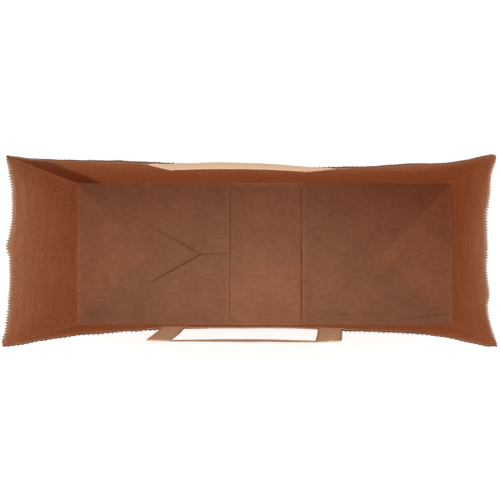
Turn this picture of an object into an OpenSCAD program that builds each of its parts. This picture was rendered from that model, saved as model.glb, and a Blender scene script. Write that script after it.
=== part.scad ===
/* [Bag] */
// Width of the bag, across its front
body_w = 450; // [420:10:600]
// Depth of the bag, from front to back
body_d = 170; // [120:5:240]
// Height of the bag from its base to its mouth
body_h = 480; // [300:10:600]
// Thickness of the kraft sheet
paper_t = 0.2; // [0.15:0.05:0.5]
// Width of the glued overlap that closes the tube, on the back panel at its left corner
seam_w = 33; // [15:1:50]

/* [Mouth] */
// How far the front panel has bowed inward at the mouth
bow_front = 18.5; // [0:0.5:30]
// How far the back panel has bowed inward at the mouth
bow_back = 10.3; // [0:0.1:30]
// How far the back panel's bow leans to the right, as a share of the bow
bow_back_skew = 0.5; // [0:0.1:0.8]
// How far the left gusset's centre crease has come inward at the mouth
gusset_in_left = 3.2; // [0:0.1:15]
// How far the right gusset's centre crease has come inward at the mouth
gusset_in_right = 9.7; // [0:0.1:15]
// Bow of the left gusset's front and back halves, between crease and corner
half_bow_left = [4.8, 6.7]; // [0:0.1:12]
// Bow of the right gusset's front and back halves, between crease and corner
half_bow_right = [4.5, 3.5]; // [0:0.1:12]
// How far each mouth corner is drawn in sideways: front left, front right, back right, back left
corner_in = [0.5, 1.2, 2.2, 2.9]; // [0:0.1:10]
// How far each mouth corner is spread to the front or back, in the same order
corner_out = [2.5, 1.6, 1.6, 2.4]; // [0:0.1:10]
// How the bows grow with height: 1 is straight, more keeps them near the mouth
bow_growth = 1.3; // [1:0.1:3]
// How full the bows are: 1 is a sine, less is squarer
bow_fullness = 0.7; // [0.5:0.1:1]

/* [Pinked edge] */
// Distance from tooth to tooth along the mouth
tooth_pitch = 2.1; // [1.8:0.1:6]
// Height of a tooth
tooth_h = 1.5; // [0.5:0.1:4]
// How far the tooth tips are pushed outward by the cut
tooth_splay = 0.5; // [0:0.1:1]

/* [Base] */
// Length of the left end flap, which lies uppermost inside the base
left_flap = 183; // [110:1:200]
// Length of the right end flap
right_flap = 179; // [110:1:200]
// How far the outer long flap reaches past the middle of the base
outer_flap_past = 15; // [5:1:40]
// Distance from the left flap's free edge back to the point where its creases meet
crease_back = 34; // [10:1:80]
// How far the left flap stands up between its creases
left_puff = 1.2; // [0.2:0.1:4]
// How far the right flap stands up in its middle
right_puff = 0.4; // [0.1:0.1:4]

/* [Handles] */
// Width of the flat handle tape
tape_w = 22; // [15:1:35]
// Thickness of the handle tape, several plies of paper
tape_t = 0.6; // [0.4:0.1:1.5]
// Width of a handle over the outsides of its legs
handle_w = 164; // [110:1:180]
// Height of the legs above the mouth, up to the folded corners
leg_h = 63; // [30:1:120]
// Length of the legs glued down inside the mouth
glued_h = 44; // [20:1:80]
// How far the front handle sits to the right of the middle
front_shift = 2.6; // [-15:0.1:15]
// How far the front handle leans outward from mouth to corners, and again across its grip
front_lean = [7.2, -1]; // [-15:0.1:15]
// How far the front handle's left and right corners have moved sideways
front_sway = [-7.8, -1.4]; // [-15:0.1:15]
// How far the back handle sits to the right of the middle
back_shift = -3.3; // [-15:0.1:15]
// How far the back handle leans outward from mouth to corners, and again across its grip
back_lean = [-3.4, -7.4]; // [-15:0.1:15]
// How far the back handle's left and right corners have moved sideways
back_sway = [-0.4, -1.5]; // [-15:0.1:15]
// How far each grip bows outward in the middle: front, then back
grip_bow = [0.3, 2]; // [-5:0.1:5]

/* [Reinforcing patches] */
// Width of the patch pasted over both legs of a handle
patch_w = 190; // [180:1:230]
// Height of the patch
patch_h = 50; // [30:1:90]
// Thickness of the patch paper
patch_t = 0.2; // [0.1:0.05:0.5]
// Distance from the mouth down to the patch
patch_drop = 3; // [2:0.5:20]
// Thickness of the paste between two sheets
paste_t = 0.1; // [0.1:0.05:0.3]
// Width over which the patch slopes down beside a leg
patch_slope = 3; // [1:0.5:8]

/* [Smoothness] */
// Width of one flat facet of the bowed walls
facet_w = 15; // [10:1:40]
// Number of facet rows up the walls
wall_rows = 7; // [3:1:12]

/* [Hidden] */

kraft = [0.72, 0.53, 0.36];
tape_colour = [0.86, 0.68, 0.48];
patch_colour = [0.80, 0.62, 0.44];

FRONT = 0;
RIGHT = 1;
BACK = 2;
LEFT = 3;
PANELS = [FRONT, RIGHT, BACK, LEFT];

// Levels of the folded base, from its underside: outer long flap, inner long flap, end flaps
inner_flap_z = paper_t;
end_flap_z = 2 * paper_t;
base_top = 3 * paper_t;

// The wall facets end a little below the teeth, and the rim's own facets carry on from there
rim_band = 4;
wall_top = body_h - tooth_h - rim_band;

// The lowest row of facets is a short one, above the base's fold
short_row = 1 / 3;
first_row_z = short_row * wall_top / wall_rows;

// Walls as surfaces: panel p, share u along it (counter-clockwise from above), height z
function panel_w(p) = p == FRONT || p == BACK ? body_w : body_d;
function panel_in(p) = [[0, 1], [-1, 0], [0, -1], [1, 0]][p];
function corner_x(i) = i == 0 || i == 3 ? -1 : 1;
function corner_y(i) = i < 2 ? -1 : 1;
function rise(z) = pow(max(z, 0) / body_h, bow_growth);
function corner_at(i, z) = [
    corner_x(i) * (body_w / 2 - corner_in[i] * rise(z)),
    corner_y(i) * (body_d / 2 + corner_out[i] * rise(z))
];
function hump(v) = pow(max(0, sin(180 * v)), bow_fullness);
function half_hump(u, first, second) = u < 0.5 ? first * hump(2 * u) : second * hump(2 * u - 1);
function tent(u) = 1 - abs(2 * u - 1);
function mouth_bow(p, u) =
    p == FRONT ? bow_front * hump(u)
    : p == BACK ? bow_back * (1 + bow_back_skew * (1 - 2 * u)) * hump(u)
    : p == RIGHT ? gusset_in_right * tent(u) + half_hump(u, half_bow_right[0], half_bow_right[1])
    : gusset_in_left * tent(u) + half_hump(u, half_bow_left[1], half_bow_left[0]);
function wall_at(p, u, z) =
    corner_at(p, z) * (1 - u) + corner_at((p + 1) % 4, z) * u + panel_in(p) * mouth_bow(p, u) * rise(z);

// The tube's overlap is a second layer on the inside of the back panel
seam_u = 1 - seam_w / body_w;
rounding = 0.0001;
function layers(p, u) = p == BACK && u > seam_u - rounding ? 2 : 1;
function to_inside(p, u) =
    panel_in(p) * layers(p, u) * paper_t
    + (u == 0 ? panel_in((p + 3) % 4) * layers((p + 3) % 4, 1) * paper_t : [0, 0]);
function inner_at(p, u, z) = wall_at(p, u, z) + to_inside(p, u);

// Facet columns round the mouth: [panel, start, end, teeth], with breaks at flap ends, seam and creases
function breaks(p) =
    p == FRONT ? [0, left_flap, body_w - right_flap, body_w]
    : p == BACK ? [0, right_flap, body_w - left_flap, body_w - seam_w - tooth_pitch, body_w - seam_w, body_w]
    : [0, body_d / 2, body_d];
function columns_of(p) = [
    for (i = [0:len(breaks(p)) - 2])
        let (
            from = breaks(p)[i],
            span = breaks(p)[i + 1] - from,
            n = max(1, round(span / facet_w))
        )
        for (j = [0:n - 1])
            [p, (from + span * j / n) / panel_w(p), (from + span * (j + 1) / n) / panel_w(p),
                max(1, round(span / n / tooth_pitch))]
];
columns = [for (p = PANELS) each columns_of(p)];
ring = len(columns);
function starts_on(c, p) = columns[c][0] == p;
function over_gap(c) =
    let (
        p = columns[c][0],
        mid = (columns[c][1] + columns[c][2]) / 2 * body_w,
        from = p == FRONT ? left_flap : right_flap,
        to = body_w - (p == FRONT ? right_flap : left_flap)
    )
    (p == FRONT || p == BACK) && mid > from && mid < to;

// Rings of points up the walls
function row_z(r) = first_row_z + (wall_top - first_row_z) * (r - 1) / (wall_rows - 1);
function foot_z(c) =
    let (p = columns[c][0], at_corner = columns[c][1] == 0)
    p == FRONT || (p == RIGHT && at_corner) ? inner_flap_z
    : p == BACK || at_corner ? 0
    : end_flap_z;
outer_rings = [
    for (r = [0:wall_rows]) for (c = [0:ring - 1])
        let (z = r == 0 ? foot_z(c) : row_z(r), w = wall_at(columns[c][0], columns[c][1], z))
        [w.x, w.y, z]
];
inner_rings = [
    for (r = [-1:wall_rows]) for (c = [0:ring - 1])
        let (
            z = r == -1 ? end_flap_z : r == 0 ? base_top : row_z(r),
            w = inner_at(columns[c][0], columns[c][1], z)
        )
        [w.x, w.y, z]
];

// The rim: two points a tooth, a valley and a tip
function rim_points(inside) = [
    for (c = columns) for (k = [0:2 * c[3] - 1])
        let (
            tip = k % 2,
            u = c[1] + (c[2] - c[1]) * k / (2 * c[3]),
            z = body_h - (1 - tip) * tooth_h,
            w = wall_at(c[0], u, z) + (inside ? to_inside(c[0], u) : [0, 0])
                - panel_in(c[0]) * tip * tooth_splay
        )
        [w.x, w.y, z]
];
outer_rim = rim_points(false);
inner_rim = rim_points(true);
rim_size = len(outer_rim);
rim_first = [for (c = 0, n = 0; c < ring; n = n + 2 * columns[c][3], c = c + 1) n];

// Points of the base
apex_x = body_w / 2 - body_d / 2;
lap_x = apex_x - outer_flap_past;
left_edge_x = left_flap - body_w / 2;
right_edge_x = body_w / 2 - right_flap;
crease_x = left_edge_x - crease_back;
gap_x = (left_edge_x + right_edge_x) / 2;
function corner(x_hand, y_hand) = [x_hand * body_w / 2, y_hand * body_d / 2];
function middle_of(list, z) =
    let (m = [for (q = list) 1] * list / len(list))
    [m.x, m.y, z];
function side_panel(hand) =
    [[crease_x, 0], [left_edge_x, 0], [left_edge_x, hand * body_d / 2], corner(-1, hand)];
base_points = [
    [-apex_x, 0, 0], [-apex_x, 0, inner_flap_z], [-apex_x, 0, end_flap_z],
    [apex_x, 0, 0], [apex_x, 0, inner_flap_z], [apex_x, 0, end_flap_z],
    [-lap_x, -outer_flap_past, 0], [-lap_x, -outer_flap_past, inner_flap_z],
    [lap_x, -outer_flap_past, 0], [lap_x, -outer_flap_past, inner_flap_z],
    middle_of([corner(-1, 1), corner(1, 1), [apex_x, 0], [-apex_x, 0]], 0),
    middle_of([corner(-1, -1), corner(1, -1), [0, -outer_flap_past], [0, -outer_flap_past]], inner_flap_z),
    [crease_x, 0, base_top], [left_edge_x, 0, base_top],
    middle_of([corner(-1, -1), corner(-1, 1), [crease_x, 0]], base_top + left_puff),
    middle_of(side_panel(1), base_top + left_puff),
    middle_of(side_panel(-1), base_top + left_puff),
    middle_of([corner(1, -1), corner(1, 1), [right_edge_x, 0], [right_edge_x, 0]], base_top + right_puff),
    [gap_x, 0, end_flap_z]
];

// Where each list of points starts in the polyhedron
at_inner = len(outer_rings);
at_outer_rim = at_inner + len(inner_rings);
at_inner_rim = at_outer_rim + rim_size;
at_base = at_inner_rim + rim_size;
function outer(r, c) = r * ring + c % ring;
function inner(r, c) = at_inner + (r + 1) * ring + c % ring;

LEFT_APEX = at_base;
RIGHT_APEX = at_base + 3;
LEFT_LAP = at_base + 6;
RIGHT_LAP = at_base + 8;
OUTER_FLAP_MID = at_base + 10;
INNER_FLAP_MID = at_base + 11;
CREASE_MEET = at_base + 12;
CREASE_END = at_base + 13;
CROWN_END = at_base + 14;
CROWN_BACK = at_base + 15;
CROWN_FRONT = at_base + 16;
CROWN_RIGHT = at_base + 17;
GAP_MID = at_base + 18;

function first_on(p) = [for (c = [0:ring - 1]) if (starts_on(c, p)) c][0];
front_left = first_on(FRONT);
front_right = first_on(RIGHT);
back_right = first_on(BACK);
back_left = first_on(LEFT);
gap_columns = [for (c = [0:ring - 1]) if (over_gap(c)) c];
front_gap = [for (c = gap_columns) if (starts_on(c, FRONT)) c];
back_gap = [for (c = gap_columns) if (starts_on(c, BACK)) c];
front_gap_from = front_gap[0];
front_gap_to = front_gap[len(front_gap) - 1] + 1;
back_gap_from = back_gap[0];
back_gap_to = back_gap[len(back_gap) - 1] + 1;

function fan(hub, loop) = [for (i = [0:len(loop) - 1]) [hub, loop[i], loop[(i + 1) % len(loop)]]];
function strip(hub, line) = [for (i = [0:len(line) - 2]) [hub, line[i], line[i + 1]]];
function backward(list) = [for (i = [len(list) - 1:-1:0]) list[i]];

wall_faces = [
    for (c = [0:ring - 1]) each concat(
        [for (r = [0:wall_rows - 1]) each [
            [outer(r, c), outer(r + 1, c), outer(r + 1, c + 1)],
            [outer(r, c), outer(r + 1, c + 1), outer(r, c + 1)]
        ]],
        [for (r = [over_gap(c) ? -1 : 0:wall_rows - 1]) each [
            [inner(r, c), inner(r + 1, c + 1), inner(r + 1, c)],
            [inner(r, c), inner(r, c + 1), inner(r + 1, c + 1)]
        ]]
    )
];

function rim(base, c, k) = base + (rim_first[c] + k) % rim_size;
rim_faces = [
    for (c = [0:ring - 1])
        let (
            n = columns[c][3],
            out_a = outer(wall_rows, c),
            out_b = outer(wall_rows, c + 1),
            in_a = inner(wall_rows, c),
            in_b = inner(wall_rows, c + 1)
        )
        each concat(
            [[out_a, rim(at_outer_rim, c, n), out_b], [in_a, in_b, rim(at_inner_rim, c, n)]],
            [for (k = [0:n - 1]) each [
                [out_a, rim(at_outer_rim, c, k), rim(at_outer_rim, c, k + 1)],
                [in_a, rim(at_inner_rim, c, k + 1), rim(at_inner_rim, c, k)]
            ]],
            [for (k = [n:2 * n - 1]) each [
                [out_b, rim(at_outer_rim, c, k), rim(at_outer_rim, c, k + 1)],
                [in_b, rim(at_inner_rim, c, k + 1), rim(at_inner_rim, c, k)]
            ]],
            [for (k = [0:2 * n - 1]) each [
                [rim(at_outer_rim, c, k), rim(at_inner_rim, c, k), rim(at_inner_rim, c, k + 1)],
                [rim(at_outer_rim, c, k), rim(at_inner_rim, c, k + 1), rim(at_outer_rim, c, k + 1)]
            ]]
        )
];

// Underside: the outer long flap, the inner one where it shows, and the end flaps between their slanted ends
underside_faces = concat(
    fan(OUTER_FLAP_MID, concat(
        [LEFT_LAP, RIGHT_LAP, RIGHT_APEX],
        [for (c = [back_right:back_left]) outer(0, c)],
        [LEFT_APEX]
    )),
    fan(INNER_FLAP_MID, concat(
        [for (c = [front_left:front_right]) outer(0, c)],
        [RIGHT_LAP + 1, LEFT_LAP + 1]
    )),
    [
        [outer(0, front_left), LEFT_LAP + 1, LEFT_APEX + 1],
        [outer(0, front_right), RIGHT_APEX + 1, RIGHT_LAP + 1]
    ],
    strip(LEFT_APEX + 2, [for (c = [back_left:ring]) outer(0, c)]),
    strip(RIGHT_APEX + 2, [for (c = [front_right:back_right]) outer(0, c)]),
    [
        [outer(0, front_left), LEFT_APEX + 1, LEFT_APEX + 2],
        [LEFT_APEX, outer(0, back_left), LEFT_APEX + 1],
        [LEFT_APEX + 1, outer(0, back_left), LEFT_APEX + 2],
        [LEFT_LAP, LEFT_APEX, LEFT_APEX + 1],
        [LEFT_LAP, LEFT_APEX + 1, LEFT_LAP + 1],
        [RIGHT_LAP, LEFT_LAP, LEFT_LAP + 1],
        [RIGHT_LAP, LEFT_LAP + 1, RIGHT_LAP + 1],
        [RIGHT_APEX, RIGHT_LAP, RIGHT_LAP + 1],
        [RIGHT_APEX, RIGHT_LAP + 1, RIGHT_APEX + 1],
        [outer(0, back_right), RIGHT_APEX, RIGHT_APEX + 1],
        [outer(0, back_right), RIGHT_APEX + 1, RIGHT_APEX + 2],
        [RIGHT_APEX + 1, outer(0, front_right), RIGHT_APEX + 2]
    ]
);

// Upper side: both end flaps, the step at each free edge, and the inner long flap in the gap between them
upper_faces = concat(
    fan(CROWN_END, backward(concat([for (c = [back_left:ring]) inner(0, c)], [CREASE_MEET]))),
    fan(CROWN_BACK, backward(concat(
        [for (c = [back_gap_to:back_left]) inner(0, c)],
        [CREASE_MEET, CREASE_END]
    ))),
    fan(CROWN_FRONT, backward(concat(
        [for (c = [front_left:front_gap_from]) inner(0, c)],
        [CREASE_END, CREASE_MEET]
    ))),
    fan(CROWN_RIGHT, backward([for (c = [front_gap_to:back_gap_from]) inner(0, c)])),
    fan(GAP_MID, backward(concat(
        [for (c = [front_gap_from:front_gap_to]) inner(-1, c)],
        [for (c = [back_gap_from:back_gap_to]) inner(-1, c)]
    ))),
    [
        [inner(-1, front_gap_from), inner(0, front_gap_from), CREASE_END],
        [inner(-1, front_gap_from), CREASE_END, inner(-1, back_gap_to)],
        [inner(-1, back_gap_to), CREASE_END, inner(0, back_gap_to)],
        [inner(-1, front_gap_to), inner(0, back_gap_from), inner(0, front_gap_to)],
        [inner(-1, front_gap_to), inner(-1, back_gap_from), inner(0, back_gap_from)]
    ]
);

module bag()
    color(kraft)
        polyhedron(
            points = concat(outer_rings, inner_rings, outer_rim, inner_rim, base_points),
            faces = concat(wall_faces, rim_faces, underside_faces, upper_faces)
        );

// Handles and patches: x across the bag, z up, n inward from the wall's inner face
function wall_panel(side) = side < 0 ? FRONT : BACK;
function share_of(side, x) = 0.5 - side * x / body_w;
function on_wall(side, x, z) = inner_at(wall_panel(side), share_of(side, x), z);
function shift_of(side) = side < 0 ? front_shift : back_shift;
function lean_of(side) = side < 0 ? front_lean : back_lean;
function sway_of(side) = side < 0 ? front_sway : back_sway;
function bow_of(side) = grip_bow[side < 0 ? 0 : 1];
function across(side, x) = (x - shift_of(side)) / handle_w + 0.5;
function mix(a, b, k) = a + (b - a) * k;
function place(side, x, z, n) =
    let (
        k = across(side, x),
        up = min(1, max(0, (z - body_h) / leg_h)),
        over = max(0, (z - body_h - leg_h) / tape_w),
        leg_x = handle_w / 2 - tape_w / 2,
        foot = on_wall(side, x, min(z, body_h)),
        left_foot = on_wall(side, shift_of(side) - leg_x, body_h),
        right_foot = on_wall(side, shift_of(side) + leg_x, body_h),
        out = lean_of(side)[0] * up + lean_of(side)[1] * over + bow_of(side) * sin(180 * k) * up
    )
    [
        foot.x + mix(sway_of(side)[0], sway_of(side)[1], k) * up,
        mix(foot.y, mix(left_foot.y, right_foot.y, k), up) + side * (out - n),
        z
    ];

// A sheet cut to flat cells, placed at two depths and closed round its outline
module sheet(side, flat, cells, outline, near, far) {
    count = len(flat);
    deep = [for (q = flat) len(q) > 2 ? q[2] : 0];
    loop = len(outline);
    turn = side < 0 ? 1 : -1;
    faces = concat(
        cells,
        [for (f = cells) backward([for (i = f) i + count])],
        [for (i = [0:loop - 1])
            let (a = outline[i], b = outline[(i + 1) % loop])
            each [[b, a, a + count], [b, a + count, b + count]]]
    );
    polyhedron(
        points = concat(
            [for (i = [0:count - 1]) place(side, flat[i][0], flat[i][1], near + deep[i])],
            [for (i = [0:count - 1]) place(side, flat[i][0], flat[i][1], far + deep[i])]
        ),
        faces = turn > 0 ? [for (f = faces) backward(f)] : faces
    );
}

// One leg, from its glued foot to the slanted fold at its top; hand is -1 at the left and 1 at the right
leg_rows = 4;
glued_rows = 3;
module leg(side, hand) {
    outside = shift_of(side) + hand * handle_w / 2;
    inside = outside - hand * tape_w;
    low = min(outside, inside);
    high = max(outside, inside);
    heights = concat(
        [for (i = [0:glued_rows - 1]) body_h - glued_h * (1 - i / glued_rows)],
        [for (i = [0:leg_rows]) body_h + leg_h * i / leg_rows]
    );
    rows = len(heights);
    flat = concat([for (z = heights) each [[low, z], [high, z]]], [[inside, body_h + leg_h + tape_w]]);
    top = 2 * rows;
    cells = concat(
        [for (r = [0:rows - 2]) each [
            [2 * r, 2 * r + 1, 2 * r + 3],
            [2 * r, 2 * r + 3, 2 * r + 2]
        ]],
        [[top - 2, top - 1, top]]
    );
    outline = concat([for (r = [0:rows - 1]) 2 * r + 1], [top], [for (r = [rows - 1:-1:0]) 2 * r]);
    sheet(side, flat, cells, outline, paste_t, paste_t + tape_t);
}

// The grip lies over the legs' slanted ends, and its own ends are the same folds
grip_cells = 8;
fold_bite = 0.02;
module grip(side) {
    from = shift_of(side) - handle_w / 2;
    to = from + handle_w;
    low = body_h + leg_h;
    stations = [for (i = [0:grip_cells]) from + tape_w + (to - from - 2 * tape_w) * i / grip_cells];
    count = grip_cells + 1;
    flat = concat([for (x = stations) each [[x, low], [x, low + tape_w]]], [[from, low], [to, low]]);
    cells = concat(
        [for (i = [0:grip_cells - 1]) each [
            [2 * i, 2 * i + 2, 2 * i + 3],
            [2 * i, 2 * i + 3, 2 * i + 1]
        ]],
        [[2 * count, 0, 1], [2 * count - 2, 2 * count + 1, 2 * count - 1]]
    );
    outline = concat(
        [2 * count],
        [for (i = [0:grip_cells]) 2 * i],
        [2 * count + 1],
        [for (i = [grip_cells:-1:0]) 2 * i + 1]
    );
    sheet(side, flat, cells, outline, paste_t + tape_t - fold_bite, paste_t + 2 * tape_t);
}

module handle(side)
    color(tape_colour)
        union() {
            leg(side, -1);
            leg(side, 1);
            grip(side);
        }

// The patch lies on the wall and steps over both legs
patch_rows = 3;
patch_cells = 3;
patch_clear = 0.5;
module patch(side) {
    over_leg = tape_t + paste_t;
    leg_near = handle_w / 2 - tape_w - patch_clear;
    leg_far = handle_w / 2 + patch_clear;
    half = concat(
        [for (i = [0:patch_cells]) [(leg_near - patch_slope) * i / patch_cells, 0]],
        [[leg_near, over_leg], [leg_far, over_leg], [leg_far + patch_slope, 0], [patch_w / 2, 0]]
    );
    stations = concat([for (i = [len(half) - 1:-1:1]) [-half[i].x, half[i].y]], half);
    count = len(stations);
    top = body_h - patch_drop;
    flat = [
        for (r = [0:patch_rows]) for (s = stations)
            [shift_of(side) + s.x, top - patch_h * (1 - r / patch_rows), s.y]
    ];
    cells = [
        for (r = [0:patch_rows - 1]) for (i = [0:count - 2])
            let (a = r * count + i)
            each [[a, a + 1, a + count + 1], [a, a + count + 1, a + count]]
    ];
    outline = concat(
        [for (i = [0:count - 1]) i],
        [for (r = [1:patch_rows]) r * count + count - 1],
        [for (i = [count - 2:-1:0]) patch_rows * count + i],
        [for (r = [patch_rows - 1:-1:1]) r * count]
    );
    color(patch_colour)
        sheet(side, flat, cells, outline, paste_t, paste_t + patch_t);
}

module front_handle() handle(-1);
module back_handle() handle(1);
module front_patch() patch(-1);
module back_patch() patch(1);

bag();
front_handle();
back_handle();
front_patch();
back_patch();
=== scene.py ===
"""Kraft paper carrier bag, looked into from straight above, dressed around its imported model.

All shapes are worked out in millimetres in the part's own frame and scaled to metres as meshes are made.
"""
import math

import bmesh
import bpy
import numpy as np
from mathutils import Euler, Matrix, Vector
from mathutils.geometry import delaunay_2d_cdt
from mathutils.kdtree import KDTree


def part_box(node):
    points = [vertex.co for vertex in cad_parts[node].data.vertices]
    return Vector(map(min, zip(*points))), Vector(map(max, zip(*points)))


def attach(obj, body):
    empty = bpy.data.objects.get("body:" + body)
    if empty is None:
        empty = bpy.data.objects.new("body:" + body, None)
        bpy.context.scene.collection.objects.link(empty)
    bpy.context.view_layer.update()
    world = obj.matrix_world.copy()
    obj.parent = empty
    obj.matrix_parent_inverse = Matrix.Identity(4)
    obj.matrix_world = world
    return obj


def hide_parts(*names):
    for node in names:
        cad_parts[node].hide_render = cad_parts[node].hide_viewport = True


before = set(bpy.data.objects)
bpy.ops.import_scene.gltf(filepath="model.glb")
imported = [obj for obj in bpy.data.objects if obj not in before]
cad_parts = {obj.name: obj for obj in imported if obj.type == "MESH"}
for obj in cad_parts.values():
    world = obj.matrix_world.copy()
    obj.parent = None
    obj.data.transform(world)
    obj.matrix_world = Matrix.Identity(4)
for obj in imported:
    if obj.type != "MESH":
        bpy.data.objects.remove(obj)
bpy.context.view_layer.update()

MM = 0.001
CHANCE = np.random.default_rng(11)

# Sizes of the bag, as the part has them
BODY_W = 450.0
BODY_D = 170.0
BODY_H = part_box("bag")[1].z / MM
PAPER_T = 0.2
SEAM_W = 33.0
BOW_FRONT = 18.5
BOW_BACK = 10.3
BOW_BACK_SKEW = 0.5
GUSSET_IN_LEFT = 3.2
GUSSET_IN_RIGHT = 9.7
HALF_BOW_LEFT = (4.8, 6.7)
HALF_BOW_RIGHT = (4.5, 3.5)
CORNER_IN = np.array([0.5, 1.2, 2.2, 2.9])
CORNER_OUT = np.array([2.5, 1.6, 1.6, 2.4])
BOW_GROWTH = 1.3
BOW_FULLNESS = 0.7
LEFT_FLAP = 183.0
RIGHT_FLAP = 179.0
OUTER_FLAP_PAST = 15.0
TAPE_W = 22.0
TAPE_T = 0.6
HANDLE_W = 164.0
LEG_H = 63.0
GLUED_H = 44.0
PATCH_W = 190.0
PATCH_H = 50.0
PATCH_DROP = 3.0
PATCH_SLOPE = 3.0
PASTE_T = 0.1

# The four panels, counter-clockwise from the front-left corner
FRONT, RIGHT, BACK, LEFT = range(4)
PANEL_W = np.array([BODY_W, BODY_D, BODY_W, BODY_D])
PANEL_START = np.array([0.0, BODY_W, BODY_W + BODY_D, 2 * BODY_W + BODY_D])
GIRTH = 2 * (BODY_W + BODY_D)
INWARD = np.array([[0, 1], [-1, 0], [0, -1], [1, 0]], float)
CORNER_SIGN = np.array([[-1, -1], [1, -1], [1, 1], [-1, 1]], float)


# The walls as a bent sheet: s runs round the bag, z up it

def smoothstep(low, high, value):
    t = np.clip((value - low) / (high - low), 0, 1)
    return t * t * (3 - 2 * t)


def hump(u):
    return np.sin(np.pi * np.clip(u, 0, 1)) ** BOW_FULLNESS


def tent(u):
    return 1 - np.abs(2 * u - 1)


def half_humps(u, first, second):
    return np.where(u < 0.5, first * hump(2 * u), second * hump(2 * u - 1))


def mouth_bow(panel, u):
    return np.choose(panel, [
        BOW_FRONT * hump(u),
        GUSSET_IN_RIGHT * tent(u) + half_humps(u, *HALF_BOW_RIGHT),
        BOW_BACK * (1 + BOW_BACK_SKEW * (1 - 2 * u)) * hump(u),
        GUSSET_IN_LEFT * tent(u) + half_humps(u, *HALF_BOW_LEFT[::-1]),
    ])


# The mouth's own waves, which die away below: (place along the panel, how far in from the smooth bow)
WAVE_FADE = 70.0
MOUTH_WAVES = [
    [(0, 0), (5, -1.1), (15, -1.4), (35, -0.4), (70, 0.5), (90, -0.2), (112, 0.3), (124, -0.6), (200, -0.6),
     (308, -1.3), (341, -0.3), (362, 0.6), (384, 1.3), (406, 1.0), (425, -0.5), (440, -1.5), (450, 0)],
    [(0, 0), (4, -0.6), (15, 0.6), (31, 1.4), (37, 0.5), (47, -2.5), (58, -1.8), (74, -0.8), (82, -1.4),
     (100, -0.9), (117, 0.5), (134, -0.5), (153, 0.9), (166, -0.8), (170, 0)],
    [(0, 0), (4, -1.9), (9, -1.8), (30, -0.7), (50, 0.2), (78, -0.9), (95, -0.1), (117, 1.0), (140, 0.5),
     (260, 0.6), (300, 0), (320, -0.35), (345, -1.2), (360, -0.2), (385, 1.3), (415, 2.1), (428, 2.2),
     (440, 1.0), (450, 0)],
    [(0, 0), (5, -0.9), (15, -1.4), (45, -1.4), (60, -1.1), (80, -2.2), (90, 0.9), (96, 0.7), (105, 0.2),
     (130, -0.5), (155, -1.2), (166, -2.2), (170, -0.4)],
]


def soft_steps(at, knots):
    """A line through the knots that eases in and out of each."""
    xs, ys = np.array(knots, float).T
    k = np.clip(np.searchsorted(xs, at, side="right") - 1, 0, len(xs) - 2)
    t = np.clip((at - xs[k]) / (xs[k + 1] - xs[k]), 0, 1)
    return ys[k] + (ys[k + 1] - ys[k]) * t * t * (3 - 2 * t)


def mouth_waves(panel, u, z):
    at = u * PANEL_W[panel]
    waves_here = np.choose(panel, [soft_steps(at, knots) for knots in MOUTH_WAVES])
    return waves_here * np.exp(-np.clip(BODY_H - z, 0, None) / WAVE_FADE)


# Above the base the back-right fold is pressed in a little: how deep, how far round, and its heights
PINCH = 5.5
PINCH_REACH = 14.0
PINCH_STARTS = (1.5, 12)
PINCH_ENDS = (90, 20)


def panel_of(s):
    s = np.mod(s, GIRTH)
    panel = np.clip(np.searchsorted(PANEL_START, s, side="right") - 1, 0, 3)
    return panel, (s - PANEL_START[panel]) / PANEL_W[panel]


def corner_at(corner, z):
    rise = (np.clip(z, 0, None) / BODY_H) ** BOW_GROWTH
    half = np.stack([
        BODY_W / 2 - CORNER_IN[corner] * rise,
        BODY_D / 2 + CORNER_OUT[corner] * rise,
    ], axis=-1)
    return CORNER_SIGN[corner] * half


def sharp_wall(s, z):
    panel, u = panel_of(s)
    rise = (np.clip(z, 0, None) / BODY_H) ** BOW_GROWTH
    u2 = u[..., None]
    flat = corner_at(panel, z) * (1 - u2) + corner_at((panel + 1) % 4, z) * u2
    from_pinch = np.abs(np.mod(s, GIRTH) - PANEL_START[BACK])
    pinch = PINCH * np.exp(-from_pinch / PINCH_REACH)
    pinch = pinch * smoothstep(*PINCH_STARTS, z) * smoothstep(*PINCH_ENDS, z)
    return flat + INWARD[panel] * (mouth_bow(panel, u) * rise)[..., None] - pinch[..., None] * [1, 0]


# Creases of the tube, as (from, to, depth, width): flat points (s, z), and how far the sheet is pressed in
APEX_Z = BODY_D / 2
RIGHT_MID = PANEL_START[RIGHT] + BODY_D / 2
LEFT_MID = PANEL_START[LEFT] + BODY_D / 2
PACKED_FOLD_Z = 345
TUBE_CREASES = [
    ((0, APEX_Z), (BODY_W, APEX_Z), 0.5, 4),
    ((BODY_W, APEX_Z), (RIGHT_MID, APEX_Z), 0.4, 4),
    ((LEFT_MID, APEX_Z), (GIRTH, APEX_Z), 0.4, 4),
    ((BODY_W, 0), (RIGHT_MID, APEX_Z), -0.5, 4),
    ((RIGHT_MID, APEX_Z), (BODY_W + BODY_D, 0), -0.5, 4),
    ((PANEL_START[LEFT], 0), (LEFT_MID, APEX_Z), -0.5, 4),
    ((LEFT_MID, APEX_Z), (GIRTH, 0), -0.5, 4),
    ((RIGHT_MID, APEX_Z), (RIGHT_MID, BODY_H), 0.5, 4),
    ((LEFT_MID, APEX_Z), (LEFT_MID, BODY_H), 0.3, 4),
    ((PANEL_START[LEFT] + 5, PACKED_FOLD_Z), (GIRTH - 60, PACKED_FOLD_Z), -0.5, 12),
]
SHARP_CREASES = TUBE_CREASES[:-1]

# The sharp nick of a crease: its half width, and its usual share of the depth
NICK = 0.85
NICK_SHARE = 0.5


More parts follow.
